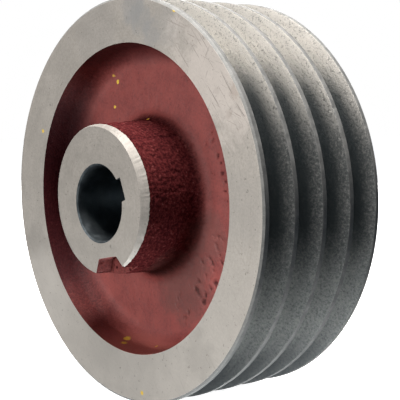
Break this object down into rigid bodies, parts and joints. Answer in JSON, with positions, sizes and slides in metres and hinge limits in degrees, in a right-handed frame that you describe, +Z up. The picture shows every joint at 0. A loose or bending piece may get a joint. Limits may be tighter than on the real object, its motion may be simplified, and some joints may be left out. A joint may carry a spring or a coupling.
{
  "type": "v belt pulley",
  "caption": "Multi-groove V-belt pulley in cast iron: turned rim, red-oxide painted web, proud bored hub with keyway.",
  "frame": {"origin": "on the spin axis, halfway between the two middle grooves, inside the bore", "axes": "+Y along the bore, from the proud hub at the front towards the rear; +Z up; the keyway is 23.3 degrees above +X"},
  "size_m": [0.214, 0.096, 0.214],
  "materials": {
    "cast_iron": "bare grey iron, turned and bored, with cast skin under the paint",
    "red_oxide_paint": "matt red-oxide primer over rough casting"
  },
  "bodies": {
    "root": {"front_flange": "cast_iron", "rib_1": "cast_iron", "rib_2": "cast_iron", "rib_3": "cast_iron", "rear_flange": "cast_iron", "rim_barrel": "cast_iron", "web": "cast_iron", "front_web_corner": "cast_iron", "rear_web_corner": "cast_iron", "hub": "cast_iron", "front_hub_foot": "cast_iron", "rear_hub_foot": "cast_iron", "front_paint_coat": "red_oxide_paint", "rear_paint_coat": "red_oxide_paint"}
  },
  "joints": []
}
